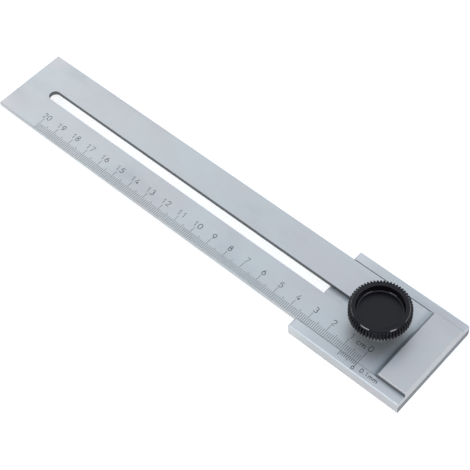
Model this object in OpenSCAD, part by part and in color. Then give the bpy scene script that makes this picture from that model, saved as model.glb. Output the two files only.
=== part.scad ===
// Marking ruler: a slotted steel beam with a raised head at its zero end, a
// channelled stop plate that slides along it, and a knurled clamp screw with
// a washer. Units are mm. X runs along the beam towards the head, Y across
// it, and Z is up; the stop plate's underside lies on Z = 0.

/* [Beam] */
// Overall length of the beam
beam_length = 250; // [180:5:400]
// Width of the beam
beam_width = 40; // [34:1:42]
// Thickness of the milled blade
blade_thickness = 2.5; // [2:0.25:4]
// Length of the raised head along the beam
head_length = 14.5; // [10:0.5:20]
// Height of the head above the blade
head_rise = 2.5; // [1.5:0.25:4]
// How far the head's end face leans back at its top
end_lean = 0.5; // [0.2:0.1:1]
// Chamfer on the head's long top edges
head_chamfer = 0.5; // [0.3:0.1:1]
// Break on the long edges of the blade
edge_break = 0.2; // [0.1:0.05:0.4]

/* [Slot] */
// Width of the slot that the clamp screw runs in
slot_width = 5.8; // [5.6:0.1:8]
// Distance from the tip of the beam to the slot
slot_margin = 15; // [10:1:25]
// How far the slot lies off the beam's centreline, away from the scale
slot_offset = 0.5; // [0:0.1:2]
// Room left beyond the screw at each end of its travel
slot_spare = 0.5; // [0.3:0.1:1]

/* [Stop plate] */
// Length of the stop plate along the beam
plate_length = 59.5; // [50:0.5:70]
// Overall width of the stop plate
plate_width = 50; // [48:1:56]
// Thickness of the floor under the beam
floor_thickness = 4.5; // [3.5:0.25:6]
// Chamfer on the lips' long outer edges
plate_chamfer = 0.4; // [0.2:0.1:0.8]
// Chamfer across the end that faces the tip of the beam
lead_chamfer = 0.8; // [0.5:0.1:1.5]
// Distance from the stop end to the clamp screw
screw_setback = 30; // [24:0.5:32]

/* [Clamp screw] */
// Diameter of the knob over its ribs
knob_diameter = 27.5; // [26:0.5:32]
// Thickness of the knob's ribbed rim
rim_thickness = 5.4; // [4.8:0.1:6.4]
// Height of the knob from the washer to its top
knob_height = 13.2; // [11:0.2:18]
// Number of ribs round the knob
rib_count = 58; // [40:2:70]
// Depth of the valleys between the ribs
rib_depth = 1; // [0.4:0.1:1.2]
// Plain band between the shoulder and the feet of the ribs
rib_land = 0.1; // [0.1:0.1:0.4]
// Width of the shoulder between the knob's flat ring and that band
shoulder_width = 0.3; // [0.2:0.1:0.6]
// Drop of that shoulder
shoulder_drop = 0.4; // [0.2:0.1:0.8]
// Further drop out to the tips of the ribs
rib_drop = 0.4; // [0.1:0.1:0.8]
// Rounding of the knob's lower rim
lower_radius = 0.5; // [0.3:0.1:0.8]
// Diameter of the dished recess in the top
recess_diameter = 21; // [18:0.5:22]
// Depth of the recess
recess_depth = 4; // [2.5:0.25:4]
// Rounding at the bottom of the recess
recess_fillet = 0.8; // [0.4:0.1:1.2]
// Rounding of the recess's mouth
mouth_radius = 0.35; // [0.2:0.05:0.5]
// Diameter of the hub under the rim
hub_diameter = 14; // [11:0.5:16]
// Chamfer at the foot of the hub
hub_chamfer = 0.6; // [0.3:0.1:1]
// Diameter of the threaded stud
stud_diameter = 5; // [4:0.5:5]
// Length of stud held inside the knob
stud_hold = 7; // [5:0.5:8]
// Chamfer on both ends of the stud
stud_chamfer = 0.5; // [0.3:0.1:0.8]
// Diameter of the washer
washer_diameter = 15; // [12:0.5:18]
// Thickness of the washer
washer_thickness = 1.2; // [0.8:0.1:1.6]

/* [Fits] */
// Gap between the beam and each lip
slide_gap = 0.08; // [0.04:0.01:0.1]
// Radial clearance of the stud in the tapped hole
thread_gap = 0.04; // [0.02:0.01:0.08]
// Radial clearance of the stud in the washer
washer_gap = 0.08; // [0.04:0.01:0.1]
// Radial seam between the stud and the knob moulded round it
mould_gap = 0.01; // [0.01:0.01:0.03]

/* [Hidden] */
$fn = 96;
over = 1;
beam_end = beam_length / 2;
blade_top = floor_thickness + blade_thickness;
head_top = blade_top + head_rise;
head_start = beam_end - head_length;
step_start = head_start - head_rise;
plate_start = beam_end - plate_length;
screw_x = beam_end - screw_setback;
slot_reach = stud_diameter / 2 + slot_spare;
slot_near = screw_x + slot_reach;
slot_far = slot_margin - beam_end;
washer_top = blade_top + washer_thickness;
knob_top = washer_top + knob_height;
rim_bottom = knob_top - rim_thickness;
knob_radius = knob_diameter / 2;
root_radius = knob_radius - rib_depth;
shoulder_radius = root_radius - rib_land;
rib_turn = 360 / rib_count;
recess_floor = knob_top - recess_depth;
recess_radius = recess_diameter / 2;
hub_radius = hub_diameter / 2;
stud_radius = stud_diameter / 2;
stud_foot = 0.3;
stud_top = washer_top + stud_hold;

// Bar along X with a chamfered section: low and high are the chamfers of
// its lower and upper long edges
module bar(x_from, x_to, width, z_from, z_to, low, high) {
    half = width / 2;
    section = [
        [-half, z_from + low],
        [-half + low, z_from],
        [half - low, z_from],
        [half, z_from + low],
        [half, z_to - high],
        [half - high, z_to],
        [-half + high, z_to],
        [-half, z_to - high]
    ];
    translate([x_from, 0, 0])
        rotate([90, 0, 90])
            linear_extrude(height = x_to - x_from)
                polygon(section);
}

// Wedge that leans the end face back above the underside of the beam
module end_wedge() {
    outline = [
        [beam_end, floor_thickness],
        [beam_end + over, floor_thickness],
        [beam_end + over, head_top + over],
        [beam_end - end_lean * (1 + over / (blade_thickness + head_rise)), head_top + over]
    ];
    translate([0, plate_width, 0])
        rotate([90, 0, 0])
            linear_extrude(height = 2 * plate_width)
                polygon(outline);
}

// Long hole with round ends
module slot_cut() {
    end_radius = slot_width / 2;
    translate([slot_far + end_radius, slot_offset - end_radius, floor_thickness - over])
        cube([slot_near - slot_far - slot_width, slot_width, blade_thickness + 2 * over]);
    for (x = [slot_far + end_radius, slot_near - end_radius])
        translate([x, slot_offset, floor_thickness - over])
            cylinder(r = end_radius, h = blade_thickness + 2 * over);
}

// Slotted blade and raised head, milled from one bar
module beam() {
    color([0.72, 0.75, 0.79])
        difference() {
            union() {
                bar(-beam_end, beam_end, beam_width, floor_thickness, blade_top, edge_break, edge_break);
                bar(step_start, beam_end, beam_width, floor_thickness, head_top, edge_break, head_chamfer);
            }
            translate([step_start, 0, head_top])
                rotate([90, 0, 0])
                    cylinder(r = head_rise, h = beam_width + 2 * over, center = true);
            slot_cut();
            end_wedge();
        }
}

// Wedge that chamfers an upper edge across the plate's leading end
module lead_wedge(top) {
    outline = [
        [plate_start - over, top - lead_chamfer - over],
        [plate_start + lead_chamfer + over, top + over],
        [plate_start - over, top + over]
    ];
    translate([0, plate_width, 0])
        rotate([90, 0, 0])
            linear_extrude(height = 2 * plate_width)
                polygon(outline);
}

// Stop plate: a floor and two lips that guide the beam, tapped for the screw
module slider() {
    channel = beam_width + 2 * slide_gap;
    color([0.70, 0.73, 0.77])
        difference() {
            bar(plate_start, beam_end, plate_width, 0, blade_top, plate_chamfer, plate_chamfer);
            translate([plate_start - over, -channel / 2, floor_thickness])
                cube([plate_length + 2 * over, channel, blade_thickness + over]);
            lead_wedge(blade_top);
            intersection() {
                lead_wedge(floor_thickness);
                translate([plate_start - 2 * over, -channel / 2, 0])
                    cube([plate_length, channel, blade_top]);
            }
            translate([screw_x, slot_offset, -over])
                cylinder(r = stud_radius + thread_gap, h = floor_thickness + 2 * over);
            end_wedge();
        }
}

// Ribbed outline of the knob: each rib has a narrow flat tip and straight flanks,
// and a valley, not a tip, points along the beam
module rib_outline() {
    tip_share = 0.14;
    root_share = 0.40;
    points = [
        for (i = [0 : rib_count - 1])
            for (corner = [
                [-tip_share, knob_radius],
                [tip_share, knob_radius],
                [root_share, root_radius],
                [1 - root_share, root_radius]
            ])
                let (turn = (i + 0.5 + corner[0]) * rib_turn)
                    [corner[1] * cos(turn), corner[1] * sin(turn)]
    ];
    polygon(points);
}

// Half section of the rim before ribs are cut: shoulder above, rounded lower edge
module rim_section() {
    polygon([
        [0, rim_bottom],
        [knob_radius - lower_radius, rim_bottom],
        [knob_radius - lower_radius, rim_bottom + lower_radius],
        [knob_radius, rim_bottom + lower_radius],
        [knob_radius, knob_top - shoulder_drop - rib_drop],
        [shoulder_radius, knob_top - shoulder_drop],
        [shoulder_radius - shoulder_width, knob_top],
        [0, knob_top]
    ]);
    translate([knob_radius - lower_radius, rim_bottom + lower_radius])
        circle(r = lower_radius);
}

// Half section of the recess: straight wall, rounded floor corner and mouth
module recess_section() {
    translate([0, recess_floor])
        square([recess_radius - recess_fillet, recess_depth + over]);
    translate([0, recess_floor + recess_fillet])
        square([recess_radius, recess_depth - recess_fillet + over]);
    translate([recess_radius - recess_fillet, recess_floor + recess_fillet])
        circle(r = recess_fillet);
    difference() {
        translate([0, knob_top - mouth_radius])
            square([recess_radius + mouth_radius, mouth_radius + over]);
        translate([recess_radius + mouth_radius, knob_top - mouth_radius])
            circle(r = mouth_radius);
    }
}

// Moulded knob: ribbed rim with a dished top on a narrower hub
module knob() {
    color([0.06, 0.06, 0.07])
        translate([screw_x, slot_offset, 0])
            difference() {
                union() {
                    intersection() {
                        rotate_extrude()
                            rim_section();
                        translate([0, 0, rim_bottom - over])
                            linear_extrude(height = rim_thickness + 2 * over)
                                rib_outline();
                    }
                    translate([0, 0, washer_top + hub_chamfer])
                        cylinder(r = hub_radius, h = rim_bottom - washer_top);
                    translate([0, 0, washer_top])
                        cylinder(r1 = hub_radius - hub_chamfer, r2 = hub_radius, h = hub_chamfer);
                }
                rotate_extrude()
                    recess_section();
                translate([0, 0, washer_top - over])
                    cylinder(r = stud_radius + mould_gap, h = stud_hold + over);
            }
}

// Stud moulded into the knob and screwed into the stop plate
module stud() {
    color([0.62, 0.63, 0.65])
        translate([screw_x, slot_offset, 0]) {
            translate([0, 0, stud_foot + stud_chamfer])
                cylinder(r = stud_radius, h = stud_top - stud_foot - 2 * stud_chamfer);
            translate([0, 0, stud_foot])
                cylinder(r1 = stud_radius - stud_chamfer, r2 = stud_radius, h = stud_chamfer);
            translate([0, 0, stud_top - stud_chamfer])
                cylinder(r1 = stud_radius, r2 = stud_radius - stud_chamfer, h = stud_chamfer);
        }
}

// Flat washer that bridges the slot under the hub
module washer() {
    color([0.66, 0.67, 0.69])
        translate([screw_x, slot_offset, blade_top])
            difference() {
                cylinder(d = washer_diameter, h = washer_thickness);
                translate([0, 0, -over])
                    cylinder(r = stud_radius + washer_gap, h = washer_thickness + 2 * over);
            }
}

beam();
slider();
stud();
knob();
washer();
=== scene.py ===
import math

import bpy
from mathutils import Matrix, Vector


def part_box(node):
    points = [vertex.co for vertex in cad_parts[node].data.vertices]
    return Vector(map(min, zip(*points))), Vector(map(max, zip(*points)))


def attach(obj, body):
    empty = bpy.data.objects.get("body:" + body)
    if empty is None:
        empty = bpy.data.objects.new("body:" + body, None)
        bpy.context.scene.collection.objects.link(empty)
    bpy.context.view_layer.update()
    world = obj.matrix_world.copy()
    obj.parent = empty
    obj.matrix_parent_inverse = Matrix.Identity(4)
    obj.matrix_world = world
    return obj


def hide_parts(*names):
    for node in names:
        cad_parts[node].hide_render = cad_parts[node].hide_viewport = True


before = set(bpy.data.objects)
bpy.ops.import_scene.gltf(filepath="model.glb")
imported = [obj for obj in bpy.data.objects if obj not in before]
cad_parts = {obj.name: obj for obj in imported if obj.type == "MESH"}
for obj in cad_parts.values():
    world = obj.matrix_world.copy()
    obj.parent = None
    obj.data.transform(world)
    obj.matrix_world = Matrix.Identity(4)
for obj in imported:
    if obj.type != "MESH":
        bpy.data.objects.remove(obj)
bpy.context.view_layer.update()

bpy.ops.object.select_all(action="DESELECT")


# Beam: one flat bar of tool steel, ground all over and satin chromed, with a
# raised head left standing at its zero end and a slot cut through the blade
# with a milling cutter. The walls of the slot are rougher from the cutter, and
# their colour is painted darker as painted shade inside the slot.
MM = 0.001


class Field:
    """A socket with a number or a colour that can stand in shader arithmetic."""

    def __init__(self, wiring, socket):
        self.wiring = wiring
        self.socket = socket

    def _math(self, operation, first, second):
        return self.wiring.node("ShaderNodeMath", {"operation": operation}, {0: first, 1: second})

    def __add__(self, other):
        return self._math("ADD", self, other)

    def __radd__(self, other):
        return self._math("ADD", other, self)

    def __sub__(self, other):
        return self._math("SUBTRACT", self, other)

    def __rsub__(self, other):
        return self._math("SUBTRACT", other, self)

    def __mul__(self, other):
        return self._math("MULTIPLY", self, other)

    def __rmul__(self, other):
        return self._math("MULTIPLY", other, self)

    def __pow__(self, other):
        return self._math("POWER", self, other)

    def size(self):
        """The value without its sign."""
        return self._math("ABSOLUTE", self, 0.0)

    def step(self, low, high):
        """0 below low, 1 above high and a smooth rise between them."""
        return self.wiring.node(
            "ShaderNodeMapRange",
            {"interpolation_type": "SMOOTHSTEP"},
            {"Value": self, "From Min": low, "From Max": high},
        )

    def past(self, edge, near, far):
        """A step between two distances past an edge, both in millimetres."""
        return self.step(edge + near * MM, edge + far * MM)


class Wiring:
    """The nodes of a material or of the world."""

    def __init__(self, tree):
        self.tree = tree

    def node(self, kind, settings=None, sockets=None, out=0):
        """Adds a node, sets it up, feeds its sockets and returns one output, or several."""
        made = self.tree.nodes.new(kind)
        for setting, value in (settings or {}).items():
            if setting == "stops":
                self.set_stops(made.color_ramp.elements, value)
            else:
                setattr(made, setting, value)
        for socket, value in (sockets or {}).items():
            self.feed(made.inputs[socket], value)
        if isinstance(out, tuple):
            return [Field(self, made.outputs[name]) for name in out]
        return Field(self, made.outputs[out])

    def set_stops(self, elements, stops):
        """Gives a ramp its stops, in rising order: each is a place and a colour."""
        for place, colour in stops[1:-1]:
            elements.new(place)
        for element, (place, colour) in zip(elements, stops):
            element.position = place
            element.color = (*colour, 1)

    def feed(self, socket, value):
        if isinstance(value, Field):
            self.tree.links.new(value.socket, socket)
        else:
            socket.default_value = value


class Finish(Wiring):
    """A procedural material: its Principled shader and the nodes that feed it."""

    def __init__(self, name, **constants):
        self.material = bpy.data.materials.new(name)
        self.material.use_nodes = True
        super().__init__(self.material.node_tree)
        self.shader = self.tree.nodes["Principled BSDF"]
        for socket, value in constants.items():
            self.shader.inputs[socket.replace("_", " ")].default_value = value

    def colour(self, value):
        self.feed(self.shader.inputs["Base Color"], value)

    def roughness(self, value):
        self.feed(self.shader.inputs["Roughness"], value)

    def bump(self, height, depth, strength):
        """Feeds the shader's normal from a height of 0 to 1, worth depth metres."""
        normal = self.node(
            "ShaderNodeBump", None, {"Height": height, "Distance": depth, "Strength": strength}
        )
        self.feed(self.shader.inputs["Normal"], normal)

    def place(self, stretch=(1, 1, 1), turn=0.0, centre=(0, 0, 0)):
        """Object coordinates, moved to a centre, turned about Z and stretched."""
        here = self.node("ShaderNodeTexCoord", out="Object")
        there = self.node("ShaderNodeVectorMath", {"operation": "SUBTRACT"}, {0: here, 1: centre})
        return self.node(
            "ShaderNodeMapping", None, {"Vector": there, "Rotation": (0, 0, turn), "Scale": stretch}
        )

    def axes(self, centre=(0, 0, 0)):
        """The three object coordinates as fields, measured from a centre."""
        here = self.place(centre=centre)
        return self.node("ShaderNodeSeparateXYZ", None, {"Vector": here}, ("X", "Y", "Z"))

    def noise(self, where, size, detail, seed):
        """Noise with patches of about a size in metres."""
        return self.node(
            "ShaderNodeTexNoise",
            {"noise_dimensions": "4D"},
            {"Vector": where, "W": seed, "Scale": 1 / size, "Detail": detail},
        )

    def mix(self, share, first, second):
        """A blend of two colours, each a field or three numbers."""
        low, high = [c if isinstance(c, Field) else (*c, 1.0) for c in (first, second)]
        # Sockets 6 and 7 and output 2 are the node's colour ones.
        return self.node(
            "ShaderNodeMix", {"data_type": "RGBA"}, {"Factor": share, 6: low, 7: high}, out=2
        )


STEEL_BLUE = (0.668, 0.684, 0.670)
STEEL_LILAC = (0.686, 0.665, 0.655)
STEEL_HAZE = (0.534, 0.549, 0.555)
STEEL_GRAIN = (0.448, 0.459, 0.460)
STEEL_METALLIC = 0.75
STEEL_ROUGHNESS = 0.45
CLOUD_SIZE = 26 * MM
CLOUD_RANGE = (0.35, 0.65)
CLOUD_WEAR = 0.04
HAZE_SIZE = 17 * MM
HAZE_STRETCH = 0.5
HAZE_TURN = math.radians(-35)
HAZE_RANGE = (0.50, 0.72)
HAZE_SHARE = 0.6
GRAIN_WIDTH = 0.12 * MM
GRAIN_STRETCH = 0.02
GRAIN_RANGE = (0.35, 0.75)
GRAIN_SHARE = 0.12
GRAIN_WEAR = 0.10
SPECK_SIZE = 0.35 * MM
BUMP_OF_GRAIN = 0.6
BUMP_OF_SPECKS = 0.4
BUMP_DEEP = 0.004 * MM
BUMP_STRENGTH = 0.45


def satin_steel(name, seed):
    """Satin chrome over ground steel: its finish, the colour and the roughness to feed it."""
    finish = Finish(name, Metallic=STEEL_METALLIC)
    clouds = finish.noise(finish.place(), CLOUD_SIZE, detail=3, seed=seed).step(*CLOUD_RANGE)
    grain = finish.noise(finish.place((GRAIN_STRETCH, 1, 1)), GRAIN_WIDTH, detail=2, seed=seed)
    specks = finish.noise(finish.place(), SPECK_SIZE, detail=1, seed=seed)
    slanted = finish.place((HAZE_STRETCH, 1, 1), HAZE_TURN)
    dull = finish.noise(slanted, HAZE_SIZE, detail=4, seed=seed + 1).step(*HAZE_RANGE)
    clouded = finish.mix(clouds, STEEL_BLUE, STEEL_LILAC)
    hazed = finish.mix(dull * HAZE_SHARE, clouded, STEEL_HAZE)
    tint = finish.mix(grain.step(*GRAIN_RANGE) * GRAIN_SHARE, hazed, STEEL_GRAIN)
    wear = STEEL_ROUGHNESS + (grain - 0.5) * GRAIN_WEAR + (clouds - 0.5) * CLOUD_WEAR
    finish.bump(grain * BUMP_OF_GRAIN + specks * BUMP_OF_SPECKS, BUMP_DEEP, BUMP_STRENGTH)
    return finish, tint, wear


def coat(node, finish):
    """Gives a CAD node its finish in place of the plain one it was packed with."""
    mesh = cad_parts[node].data
    mesh.materials.clear()
    mesh.materials.append(finish.material)


beam_low, beam_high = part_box("beam")
slider_low, slider_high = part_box("slider")
BLADE_TOP = slider_high.z
SLOT_MIDDLE = 0.5 * MM
SLOT_HALF = 2.9 * MM
SLOT_TIP = beam_low.x + 15 * MM
SLOT_HEEL = beam_high.x - 27 * MM
HEAD_START = beam_high.x - 14.5 * MM
STEP_START = HEAD_START - (beam_high.z - BLADE_TOP)

# Painted shade on the slot walls.
STEEL_SLOT_SHADE = (0.228, 0.243, 0.253)
# Painted shade on the blade before the step.
STEEL_STEP_SHADE = (0.434, 0.474, 0.500)
# Painted highlight, on the step's rise and on the plate's outer top edges.
STEEL_PAINTED_HIGHLIGHT = (0.830, 0.870, 0.900)
# Painted shade on the head's sides.
STEEL_FLANK_SHADE = (0.280, 0.295, 0.315)
STEEL_HEAD = (0.655, 0.615, 0.598)
STEEL_HANDLED = (0.742, 0.704, 0.688)
HEAD_SHARE = 0.6
HANDLED_SHARE = 0.9
MILLED_WEAR = 0.2
STEP_POLISH = 0.06
RISE_WEAR = 0.2

ground, ground_tint, ground_wear = satin_steel("beam_steel", seed=1)
along, across, up = ground.axes()
from_side = across.size()
before_head = 1 - along.past(HEAD_START, 0, 0.1)
# The slot walls: rougher from the cutter, and painted darker as painted shade inside the slot.
in_slot = (
    (1 - (across - SLOT_MIDDLE).size().past(SLOT_HALF, 0.02, 0.08))
    * along.past(SLOT_TIP, -0.2, 0)
    * (1 - along.past(SLOT_HEEL, 0, 0.2))
    * (1 - up.past(BLADE_TOP, -0.15, -0.02))
)
# Painted shade: the blade just before the step is painted darker and bluer, standing in for the
# knob's shade and dark reflection.
in_shade_before_step = along.past(HEAD_START, -5, -1.5) * before_head * (1 - up.past(BLADE_TOP, 0.3, 1.0))
# Painted highlight: a lighter band on the upper part of the step's rise.
in_rise_highlight = along.past(HEAD_START, -1.3, -0.9) * before_head * up.past(BLADE_TOP, 0.9, 1.4)
in_step = (
    along.past(STEP_START, 0, 0.2)
    * (1 - along.past(HEAD_START, 0, 0.05))
    * up.past(BLADE_TOP, 0, 0.02)
)
# Painted shade: the head's sides above the blade are painted darker.
on_flank_shade = from_side.past(beam_high.y, -0.05, -0.03) * up.past(BLADE_TOP, 0.01, 0.03)
on_head = along.past(HEAD_START, -1, 0)
at_tip_edges = (1 - along.past(beam_low.x, 0, 16)) * from_side.past(beam_high.y, -11, 0)

toned = ground.mix(on_head * HEAD_SHARE, ground_tint, STEEL_HEAD)
handled = ground.mix(at_tip_edges * HANDLED_SHARE, toned, STEEL_HANDLED)
slot_shaded = ground.mix(in_slot, handled, STEEL_SLOT_SHADE)
rise_highlit = ground.mix(in_rise_highlight, slot_shaded, STEEL_PAINTED_HIGHLIGHT)
shaded_before_step = ground.mix(in_shade_before_step, rise_highlit, STEEL_STEP_SHADE)
ground.colour(ground.mix(on_flank_shade, shaded_before_step, STEEL_FLANK_SHADE))
ground.roughness(
    ground_wear + in_slot * MILLED_WEAR - in_step * STEP_POLISH + in_rise_highlight * RISE_WEAR
)
coat("beam", ground)


# Scale: a line every millimetre from 0 to 20 cm, longer at each half and whole
# centimetre, with a figure over each whole one. Lines and figures are cut by a
# fine engraver and filled black; the filling stands a hair above the steel.
ZERO_SETBACK = 25.2 * MM
SCALE_CM = 20
LINE_WIDTH = 0.18 * MM
LINE_START = 0.25 * MM
LINE_ENDS = {"mm": 3.7 * MM, "half": 4.7 * MM, "cm": 6.7 * MM}
FILL_STANDS = 0.012 * MM
FILL_SINKS = 0.05 * MM
FILL_BLACK = (0.012, 0.013, 0.016)
FILL_DUSTY = (0.032, 0.035, 0.041)
FILL_SHEEN = 0.25
FILL_ROUGHNESS = 0.55
DUST_SIZE = 0.4 * MM
DUST_RANGE = (0.3, 0.8)
DUST_WEAR = 0.25
DUST_DEEP = 0.004 * MM
DUST_STRENGTH = 0.5

scale_zero = beam_high.x - ZERO_SETBACK


def engraver_fill(name):
    """Black filling of an engraved line, a little dusty and uneven."""
    finish = Finish(name, Specular_IOR_Level=FILL_SHEEN)
    dust = finish.noise(finish.place(), DUST_SIZE, detail=3, seed=5).step(*DUST_RANGE)
    finish.colour(finish.mix(dust, FILL_BLACK, FILL_DUSTY))
    finish.roughness(FILL_ROUGHNESS + dust * DUST_WEAR)
    finish.bump(dust, DUST_DEEP, DUST_STRENGTH)
    return finish.material


def line_mark(x, y_from, y_to, width):
    """A flat stroke across the beam on top of the steel."""
    middle = (x, (y_from + y_to) / 2, BLADE_TOP + FILL_STANDS)
    bpy.ops.mesh.primitive_plane_add(size=1, location=middle)
    bpy.ops.transform.resize(value=(width, y_to - y_from, 1))
    return bpy.context.object


def scale_line(mm, kind):
    """One line of the scale."""
    foot = beam_low.y + LINE_START
    return line_mark(scale_zero - mm * MM, foot, beam_low.y + LINE_ENDS[kind], LINE_WIDTH)


def joined(parts, name):
    """Joins marks into one piece whose mesh holds its place."""
    bpy.ops.object.select_all(action="DESELECT")
    for part in parts:
        part.select_set(True)
    bpy.context.view_layer.objects.active = parts[0]
    bpy.ops.object.join()
    piece = bpy.context.object
    bpy.ops.object.transform_apply(location=True, rotation=True, scale=True)
    piece.name = name
    bpy.ops.object.select_all(action="DESELECT")
    return piece


def filled(piece):
    """Gives flat marks the thickness of the filling, down into the steel."""
    fill = piece.modifiers.new("filling", "SOLIDIFY")
    fill.thickness = FILL_SINKS
    fill.offset = -1
    bpy.context.view_layer.objects.active = piece
    bpy.ops.object.modifier_apply(modifier=fill.name)
    return piece


def engraved(piece, body):
    """Fills a piece's engraving and lets it ride on its body."""
    piece.data.materials.clear()
    piece.data.materials.append(fill_black)
    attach(piece, body)


fill_black = engraver_fill("engraving_black")

centimetre = [scale_line(mm, {0: "cm", 5: "half"}.get(mm, "mm")) for mm in range(10)]
scale_row = joined(centimetre, "scale_lines")
repeat = scale_row.modifiers.new("centimetres", "ARRAY")
repeat.count = SCALE_CM
repeat.use_relative_offset = False
repeat.use_constant_offset = True
repeat.constant_offset_displace = (-10 * MM, 0, 0)
bpy.ops.object.modifier_apply(modifier=repeat.name)
last_line = scale_line(SCALE_CM * 10, "cm")
engraved(filled(joined([scale_row, last_line], "scale_lines")), "beam")


# Figures of the scale: single-line lettering, as an engraver's follower guides
# it. Each sign is a few strokes in a box 1 tall, brought to its height when it
# is copied to its place.
FIGURE_TALL = 2.75 * MM
FIGURE_FOOT = 7.35 * MM
FIGURE_SHIFT = 0.3 * MM
FIGURE_STROKE = 0.31 * MM
FIGURE_WIDE = 0.64
FIGURE_GAP = 0.36
FIGURE_FLAT = 0.10
UNIT_TALL = 2.4 * MM
UNIT_FOOT = 6.9 * MM
UNIT_SETBACK = 4.4 * MM


def arc(x, y, wide, tall, start, end, steps):
    """Points along part of an ellipse, its angles in degrees."""
    turns = [math.radians(start + (end - start) * i / steps) for i in range(steps + 1)]
    return [(x + wide * math.cos(t), y + tall * math.sin(t)) for t in turns]


SIGNS = {
    "0": [
        arc(0.32, 0.68, 0.32, 0.32, 0, 180, 8)
        + arc(0.32, 0.32, 0.32, 0.32, 180, 360, 8)
        + [(0.64, 0.68)]
    ],
    "1": [[(0.10, 0.72), (0.40, 1.0), (0.40, 0.0)]],
    "2": [arc(0.31, 0.70, 0.30, 0.30, 165, -35, 8) + [(0.02, 0.0), (0.64, 0.0)]],
    "3": [arc(0.30, 0.76, 0.26, 0.24, 150, -80, 8) + arc(0.30, 0.27, 0.32, 0.27, 80, -150, 9)],
    "4": [[(0.66, 0.26), (0.0, 0.26), (0.42, 1.0)], [(0.46, 0.52), (0.46, 0.0)]],
    "5": [[(0.58, 1.0), (0.12, 1.0), (0.06, 0.56)] + arc(0.30, 0.32, 0.32, 0.32, 128, -150, 10)],
    "6": [arc(0.32, 0.31, 0.31, 0.31, 155, -205, 14), [(0.04, 0.44), (0.20, 0.78), (0.46, 1.0)]],
    "7": [[(0.02, 1.0), (0.62, 1.0), (0.22, 0.0)]],
    "8": [arc(0.32, 0.77, 0.24, 0.23, -90, 270, 12), arc(0.32, 0.27, 0.31, 0.27, 90, 450, 14)],
    "9": [arc(0.32, 0.69, 0.31, 0.31, 335, -25, 14), [(0.60, 0.56), (0.44, 0.22), (0.18, 0.0)]],
    "c": [arc(0.32, 0.32, 0.31, 0.32, 50, 310, 10)],
    "m": [
        [(0.0, 0.0), (0.0, 0.62)],
        arc(0.24, 0.38, 0.24, 0.24, 180, 0, 6) + [(0.48, 0.0)],
        arc(0.72, 0.38, 0.24, 0.24, 180, 0, 6) + [(0.96, 0.0)],
    ],
    ".": [[(0.0, 0.0), (0.0, 0.16)]],
}
SIGN_WIDTHS = {"c": 0.42, "m": 0.96, ".": 0.0}
STROKES_MEET = 0.001


def sign(letter, tall):
    """One sign in a box 1 tall, its strokes as wide as the engraver cuts them at a height."""
    bpy.ops.mesh.primitive_plane_add(size=1, location=(0, 0, 0))
    shape = bpy.context.object
    bpy.ops.object.mode_set(mode="EDIT")
    bpy.ops.mesh.delete(type="VERT")
    for stroke in SIGNS[letter]:
        bpy.ops.mesh.primitive_plane_add(size=0.01, location=(*stroke[0], 0))
        bpy.ops.mesh.merge(type="CENTER")
        for (x, y), (next_x, next_y) in zip(stroke, stroke[1:]):
            bpy.ops.mesh.extrude_region_move(
                TRANSFORM_OT_translate={"value": (next_x - x, next_y - y, 0)}
            )
    bpy.ops.mesh.select_all(action="SELECT")
    bpy.ops.mesh.remove_doubles(threshold=STROKES_MEET)
    bpy.ops.object.mode_set(mode="OBJECT")
    bpy.ops.object.convert(target="CURVE")
    shape.data.dimensions = "3D"
    shape.data.bevel_depth = 0.5 * FIGURE_STROKE / tall
    shape.data.bevel_resolution = 1
    shape.data.use_fill_caps = True
    bpy.ops.object.convert(target="MESH")
    return bpy.context.object


def figure(text, x, foot, tall):
    """The signs of a text, centred on x with their feet at foot. Each is a copy of its sign."""
    widths = [SIGN_WIDTHS.get(letter, FIGURE_WIDE) for letter in text]
    start = x - tall * (sum(widths) + FIGURE_GAP * (len(text) - 1)) / 2
    placed = []
    for letter, width in zip(text, widths):
        if (letter, tall) not in signs:
            signs[letter, tall] = sign(letter, tall)
        copy = signs[letter, tall].copy()
        copy.data = signs[letter, tall].data.copy()
        bpy.context.collection.objects.link(copy)
        copy.location = (start, foot, BLADE_TOP)
        copy.scale = (tall, tall, tall * FIGURE_FLAT)
        placed.append(copy)
        start += tall * (width + FIGURE_GAP)
    return placed


signs = {}
figures = []
for cm in range(SCALE_CM + 1):
    over_line = scale_zero - cm * 10 * MM + FIGURE_SHIFT
    figures += figure(str(cm), over_line, beam_low.y + FIGURE_FOOT, FIGURE_TALL)
figures += figure("cm", scale_zero - UNIT_SETBACK, beam_low.y + UNIT_FOOT, UNIT_TALL)
engraved(joined(figures, "scale_figures"), "beam")


# Stop plate: a channelled plate of the same steel whose two lips guide the
# beam. Its lower end is coloured darker and made rougher. Along the beam the
# lips are rougher, and painted darker as painted shade in the gap; the outer
# top edges carry a painted highlight, and the lips' leading ends are coloured
# lighter.
PLATE_FLOOR = 4.5 * MM
# The lower end's darker colour.
STEEL_LOWER_END_DARK = (0.305, 0.305, 0.306)
# Painted shade in the gap along the beam.
STEEL_GAP_SHADE = (0.130, 0.135, 0.140)
# The lighter colour of the lips' leading ends.
STEEL_LEAD_LIGHTER = (0.820, 0.805, 0.785)
LEAD_LIGHTER_SHARE = 0.55
LOWER_END_WEAR = 0.15
GAP_LINE_WEAR = 0.25

plate, plate_tint, plate_wear = satin_steel("slider_steel", seed=7)
along, across, up = plate.axes()
from_side = across.size()
# The end face below the channel's floor is coloured darker and made rougher.
at_lower_end = along.past(slider_high.x, -0.15, -0.05) * (1 - up.past(PLATE_FLOOR, -0.3, 0.3))
# Painted shade: a dark line on the lips along the beam, where the gap lies in shade.
on_gap_shade_line = (1 - from_side.past(beam_high.y, 0.17, 0.21)) * up.past(BLADE_TOP, -0.3, -0.2)
# Painted highlight along the plate's outer top edges.
on_outer_edge_highlight = from_side.past(slider_high.y, -0.42, -0.38) * up.past(BLADE_TOP, -0.42, -0.38)
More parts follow.
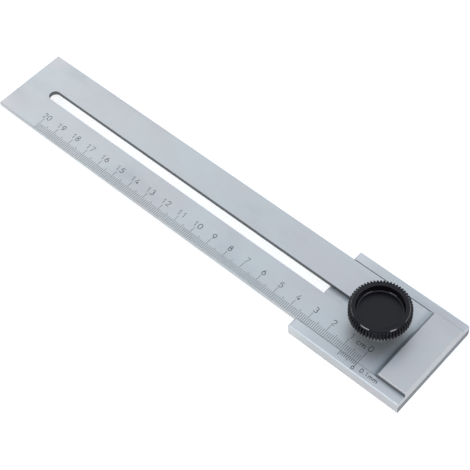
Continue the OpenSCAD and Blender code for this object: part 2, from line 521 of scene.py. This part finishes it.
# The lips' leading ends are coloured lighter.
at_lead = (1 - along.past(slider_low.x, 0, 14)) * from_side.past(beam_high.y, 0, 0.1)

lead_lightened = plate.mix(at_lead * LEAD_LIGHTER_SHARE, plate_tint, STEEL_LEAD_LIGHTER)
lower_end_darkened = plate.mix(at_lower_end, lead_lightened, STEEL_LOWER_END_DARK)
gap_shaded = plate.mix(on_gap_shade_line, lower_end_darkened, STEEL_GAP_SHADE)
plate.colour(plate.mix(on_outer_edge_highlight, gap_shaded, STEEL_PAINTED_HIGHLIGHT))
plate.roughness(plate_wear + at_lower_end * LOWER_END_WEAR + on_gap_shade_line * GAP_LINE_WEAR)
coat("slider", plate)


# Vernier: ten parts of 0.9 mm on the near lip, so that tenths of a millimetre
# can be read, with its zero and the value of one part beside it. It is cut
# and filled as the scale is.
VERNIER_PITCH = 0.9 * MM
VERNIER_PARTS = 10
VERNIER_WIDTH = 0.26 * MM
VERNIER_START = 0.2 * MM
VERNIER_ENDS = {"part": 1.8 * MM, "half": 2.5 * MM}
NOUGHT_TALL = 1.6 * MM
NOUGHT_FOOT = 4.15 * MM
NOUGHT_SETBACK = 0.2 * MM
VALUE_TALL = 1.9 * MM
VALUE_FOOT = 2.95 * MM
VALUE_AHEAD = 7.5 * MM
lip_edge = beam_low.y

vernier = []
for part in range(VERNIER_PARTS + 1):
    x = scale_zero - part * VERNIER_PITCH
    end = VERNIER_ENDS["half" if part % 5 == 0 else "part"]
    vernier.append(line_mark(x, lip_edge - end, lip_edge - VERNIER_START, VERNIER_WIDTH))
engraved(filled(joined(vernier, "vernier_lines")), "slider")

nought = figure("0", scale_zero - NOUGHT_SETBACK, lip_edge - NOUGHT_FOOT, NOUGHT_TALL)
value = figure("0.1mm", scale_zero + VALUE_AHEAD, lip_edge - VALUE_FOOT, VALUE_TALL)
engraved(joined(nought + value, "vernier_figures"), "slider")
for shape in signs.values():
    bpy.data.objects.remove(shape)


# Knob: black moulded plastic round the head of the stud. The rim is ribbed for
# the fingers and left matt, and the dished top is smoother, from a polished
# core of the mould. Its shoulder and the foot of the dish catch the light.
KNOB_BLACK = (0.0050, 0.0020, 0.0038)
KNOB_WORN = (0.0060, 0.0031, 0.0044)
RIB_WORN = 0.6
SMEAR_WORN = 0.2
KNOB_ROUGHNESS = 0.09
FLOOR_DULL = 0.22
SMEAR_DULL = 0.03
RIB_DULL = 0.30
KNOB_SHEEN = 0.36
SKIN_IOR = 2.1
SKIN_ROUGHNESS = 0.05
SHOULDER_GLOSS = 0.6
PEBBLE_SIZE = 0.25 * MM
PEBBLE_DEEP = 0.004 * MM
PEBBLE_STRENGTH = 0.4
PEBBLES_IN_DISH = 0.15
PEBBLES_ON_RIBS = 0.85
SMEAR_SIZE = 7 * MM
SMEAR_RANGE = (0.3, 0.7)
DISH_DEEP = 4.0 * MM
DISH_RADIUS = 10.5 * MM
FLOOR_RADIUS = 9.9 * MM
SHOULDER_INSIDE = 12.35 * MM
SHOULDER_OUTSIDE = 12.66 * MM
RIB_FEET = 12.7 * MM

knob_low, knob_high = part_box("knob")
knob_middle = (knob_low + knob_high) / 2
dish_floor = knob_high.z - DISH_DEEP

moulded = Finish(
    "knob_plastic",
    Specular_IOR_Level=KNOB_SHEEN,
    Coat_IOR=SKIN_IOR,
    Coat_Roughness=SKIN_ROUGHNESS,
)
knob_axis = (knob_middle.x, knob_middle.y, 0)
side_x, side_y, up = moulded.axes(knob_axis)
radius = (side_x * side_x + side_y * side_y) ** 0.5
centred = moulded.place(centre=knob_axis)
pebbles = moulded.noise(centred, PEBBLE_SIZE, detail=3, seed=2)
smears = moulded.noise(centred, SMEAR_SIZE, detail=3, seed=3).step(*SMEAR_RANGE)
in_dish = (1 - radius.past(DISH_RADIUS, -0.3, 0)) * up.past(dish_floor, -0.6, -0.4)
on_floor = (1 - radius.past(FLOOR_RADIUS, -0.9, 0)) * in_dish
on_ribs = radius.past(RIB_FEET, 0, 0.9)
in_corner = (
    radius.past(FLOOR_RADIUS, 0, 0.2)
    * up.past(dish_floor, 0.22, 0.28)
    * (1 - up.past(dish_floor, 0.55, 0.65))
    * in_dish
)
on_shoulder = (
    radius.past(SHOULDER_INSIDE, -0.02, 0.02)
    * (1 - radius.past(SHOULDER_OUTSIDE, -0.02, 0.02))
    * up.past(knob_high.z, -0.24, -0.20)
)
moulded.colour(moulded.mix(on_ribs * RIB_WORN + smears * SMEAR_WORN, KNOB_BLACK, KNOB_WORN))
moulded.roughness(
    KNOB_ROUGHNESS + on_floor * FLOOR_DULL + smears * SMEAR_DULL + on_ribs * RIB_DULL
)
moulded.feed(moulded.shader.inputs["Coat Weight"], in_corner + on_shoulder * SHOULDER_GLOSS)
rough_skin = pebbles * (PEBBLES_IN_DISH + on_ribs * PEBBLES_ON_RIBS)
moulded.bump(rough_skin, PEBBLE_DEEP, PEBBLE_STRENGTH)
coat("knob", moulded)


# Stud: a plated M5 screw moulded into the knob and screwed into the stop
# plate. The thread runs the whole way, 0.8 mm a turn, with chamfered ends. Its
# sizes are in millimetres, and it is brought to its real size when it is whole.
STUD_PITCH = 0.8
STUD_CHAMFER = 0.5
THREAD_DEEP = 0.4
THREAD_ROOT = 0.05
THREAD_FLANK = 0.33
THREAD_CREST = 0.09
THREAD_SIDES = 36
THREAD_LEAD = 1.4 * STUD_PITCH
TURNS_MEET = 0.005
LEVEL_NEAR = 0.001

stud_low, stud_high = [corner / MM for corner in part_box("stud")]
stud_middle = (stud_low + stud_high) / 2
stud_radius = (stud_high.x - stud_low.x) / 2
stud_turns = math.ceil((stud_high.z - stud_low.z) / STUD_PITCH) + 2
end_narrowing = 1 - STUD_CHAMFER / stud_radius

bpy.ops.mesh.primitive_plane_add(size=THREAD_DEEP, location=(0, 0, 0))
thread = bpy.context.object
thread.name = "stud_thread"
bpy.ops.object.mode_set(mode="EDIT")
bpy.ops.mesh.merge(type="CENTER")
bpy.ops.transform.translate(value=(stud_radius - THREAD_DEEP, 0, stud_low.z - THREAD_LEAD))
for out, rise in (
    (0, THREAD_ROOT),
    (THREAD_DEEP, THREAD_FLANK),
    (0, THREAD_CREST),
    (-THREAD_DEEP, THREAD_FLANK),
):
    bpy.ops.mesh.extrude_region_move(TRANSFORM_OT_translate={"value": (out, 0, rise)})
bpy.ops.object.mode_set(mode="OBJECT")
turned = thread.modifiers.new("thread", "SCREW")
turned.axis = "Z"
turned.angle = 2 * math.pi
turned.screw_offset = STUD_PITCH
turned.iterations = stud_turns
turned.steps = THREAD_SIDES
turned.render_steps = THREAD_SIDES
bpy.ops.object.modifier_apply(modifier=turned.name)
bpy.ops.object.mode_set(mode="EDIT")
bpy.ops.mesh.select_all(action="SELECT")
bpy.ops.mesh.remove_doubles(threshold=TURNS_MEET)
for level, facing in ((stud_low.z, -1), (stud_high.z, 1)):
    bpy.ops.mesh.select_all(action="SELECT")
    bpy.ops.mesh.bisect(
        plane_co=(0, 0, level), plane_no=(0, 0, facing), use_fill=True, clear_outer=True
    )
bpy.ops.mesh.select_all(action="SELECT")
bpy.ops.mesh.normals_make_consistent(inside=False)
bpy.ops.mesh.select_all(action="DESELECT")
bpy.ops.object.mode_set(mode="OBJECT")
for level in (stud_low.z, stud_high.z):
    for corner in thread.data.vertices:
        corner.select = abs(corner.co.z - level) < LEVEL_NEAR
    bpy.ops.object.mode_set(mode="EDIT")
    bpy.ops.transform.resize(
        value=(end_narrowing, end_narrowing, 1),
        center_override=(0, 0, level),
        use_proportional_edit=True,
        proportional_edit_falloff="LINEAR",
        proportional_size=STUD_CHAMFER,
    )
    bpy.ops.mesh.select_all(action="DESELECT")
    bpy.ops.object.mode_set(mode="OBJECT")
thread.location = (stud_middle.x * MM, stud_middle.y * MM, 0)
thread.scale = (MM, MM, MM)
bpy.ops.object.transform_apply(location=True, rotation=True, scale=True)

STUD_ZINC = (0.60, 0.61, 0.64)
STUD_ROUGHNESS = 0.30
ZINC_CLOUD_SIZE = 3 * MM
ZINC_CLOUD_DARK = 0.8
ZINC_CLOUD_WEAR = 0.12
ZINC_PIT_SIZE = 0.15 * MM
ZINC_PIT_DEEP = 0.002 * MM
ZINC_PIT_STRENGTH = 0.4


def plated(name, tint, roughness, seed):
    """Bright zinc plate with faint cloudiness."""
    finish = Finish(name, Metallic=1.0)
    clouds = finish.noise(finish.place(), ZINC_CLOUD_SIZE, detail=3, seed=seed)
    pits = finish.noise(finish.place(), ZINC_PIT_SIZE, detail=1, seed=seed)
    finish.colour(finish.mix(clouds, tint, [c * ZINC_CLOUD_DARK for c in tint]))
    finish.roughness(roughness + (clouds - 0.5) * ZINC_CLOUD_WEAR)
    finish.bump(pits, ZINC_PIT_DEEP, ZINC_PIT_STRENGTH)
    return finish


zinc = plated("stud_zinc", STUD_ZINC, STUD_ROUGHNESS, seed=11)
coat("stud", zinc)
thread.data.materials.clear()
thread.data.materials.append(zinc.material)
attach(thread, "clamp_screw")
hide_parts("stud")


# Washer: a plain plated steel washer, loose on the stud. It bridges the slot
# and takes the pressure of the hub.
WASHER_ZINC = (0.64, 0.65, 0.67)
WASHER_ROUGHNESS = 0.26

coat("washer", plated("washer_zinc", WASHER_ZINC, WASHER_ROUGHNESS, seed=13))


# Stage: a white table in white surroundings, lit by four soft boxes: low ones
# at the left and the right, a high one beyond the tip and a high bluish one at
# the far right. The surroundings are brightest partway up and bluish overhead.
FLOOR_HALF = 3.0
FLOOR_WHITE = (0.82, 0.82, 0.82, 1)
FLOOR_ROUGHNESS = 0.9
FLOOR_SEEN = 0.66
FLOOR_MIRRORED = 0.42
LAMP_AIM = Vector((0.095, 0, 0.02))
LAMP_WHITE = (1, 1, 1)
LAMP_BLUISH = (0.55, 0.76, 1.0)
SKY_STOPS = (
    (0.0, (0.03, 0.03, 0.03)),
    (0.30, (0.06, 0.08, 0.11)),
    (0.52, (0.33, 0.42, 0.51)),
    (0.68, (1.23, 1.22, 1.20)),
    (0.87, (0.53, 0.64, 0.79)),
    (1.0, (0.44, 0.58, 0.78)),
)
SKY_MIRRORED = 0.12


def light_path(wiring):
    """Whether a ray comes from the camera or through glass, and whether from a mirroring face."""
    seen, mirrored, through = wiring.node(
        "ShaderNodeLightPath", out=("Is Camera Ray", "Is Glossy Ray", "Is Transmission Ray")
    )
    return seen + through, mirrored


def stage_floor():
    """White floor that camera and metal see as white, and that takes a soft shadow."""
    bpy.ops.mesh.primitive_plane_add(size=2 * FLOOR_HALF, location=(0, 0, 0))
    floor = bpy.context.object
    floor.name = "floor"
    finish = Finish(
        "floor_white", Base_Color=FLOOR_WHITE, Roughness=FLOOR_ROUGHNESS, Specular_IOR_Level=0
    )
    seen, mirrored = light_path(finish)
    strength = seen * FLOOR_SEEN + mirrored * FLOOR_MIRRORED
    glow = finish.node("ShaderNodeEmission", None, {"Color": (1, 1, 1, 1), "Strength": strength})
    painted = Field(finish, finish.shader.outputs["BSDF"])
    both = finish.node("ShaderNodeAddShader", None, {0: painted, 1: glow})
    finish.feed(finish.tree.nodes["Material Output"].inputs["Surface"], both)
    floor.data.materials.append(finish.material)


def softbox(name, at, size, power, tint=LAMP_WHITE):
    """A rectangular lamp at a place, turned to the clamp screw."""
    bpy.ops.object.light_add(type="AREA", location=at)
    lamp = bpy.context.object
    lamp.name = name
    lamp.data.shape = "RECTANGLE"
    lamp.data.size, lamp.data.size_y = size
    lamp.data.energy = power
    lamp.data.color = tint
    lamp.rotation_euler = (LAMP_AIM - Vector(at)).to_track_quat("-Z", "Y").to_euler()


stage_floor()
softbox("left", at=(-0.061, -0.960, 0.255), size=(0.52, 0.16), power=1.05)
softbox("right", at=(1.065, -0.085, 0.255), size=(0.56, 0.16), power=1.15)
softbox("tip", at=(-0.825, 0.247, 0.57), size=(0.70, 0.40), power=0.52)
softbox("fill", at=(0.90, 0.46, 0.50), size=(0.60, 0.40), power=0.85, tint=LAMP_BLUISH)

world = bpy.data.worlds.new("studio")
bpy.context.scene.world = world
world.use_nodes = True
sky = Wiring(world.node_tree)
heading = sky.node("ShaderNodeTexCoord", out="Generated")
height = sky.node("ShaderNodeSeparateXYZ", None, {"Vector": heading}, "Z")
surroundings = sky.node("ShaderNodeValToRGB", {"stops": SKY_STOPS}, {"Fac": height})
seen, mirrored = light_path(sky)
gleaming = sky.node(
    "ShaderNodeVectorMath", {"operation": "ADD"}, {0: surroundings, 1: mirrored * SKY_MIRRORED}
)
glow = sky.node("ShaderNodeVectorMath", {"operation": "MAXIMUM"}, {0: seen, 1: gleaming})
background = sky.tree.nodes["Background"]
sky.feed(background.inputs["Color"], glow)
sky.feed(background.inputs["Strength"], 1)


# Camera: above the near right corner and looking down along the ruler, where
# the photograph was taken from.
CAMERA_AT = Vector((252.60, -239.70, 480.91)) * MM
CAMERA_LOOKS = Vector((-0.40731, 0.40589, -0.81814))
CAMERA_UP = Vector((-0.52926, 0.62516, 0.57364))
CAMERA_LENS = 98.18
CAMERA_SENSOR = 36.0
CAMERA_NEAR = 0.01
CAMERA_FAR = 50

bpy.ops.object.camera_add()
camera = bpy.context.object
camera.data.sensor_width = CAMERA_SENSOR
camera.data.lens = CAMERA_LENS
camera.data.clip_start = CAMERA_NEAR
camera.data.clip_end = CAMERA_FAR
camera.data.dof.use_dof = False
side = CAMERA_LOOKS.cross(CAMERA_UP)
turn = Matrix((side, CAMERA_UP, -CAMERA_LOOKS)).transposed().to_4x4()
camera.matrix_world = Matrix.Translation(CAMERA_AT) @ turn
scene = bpy.context.scene
scene.camera = camera
scene.view_settings.view_transform = "Standard"
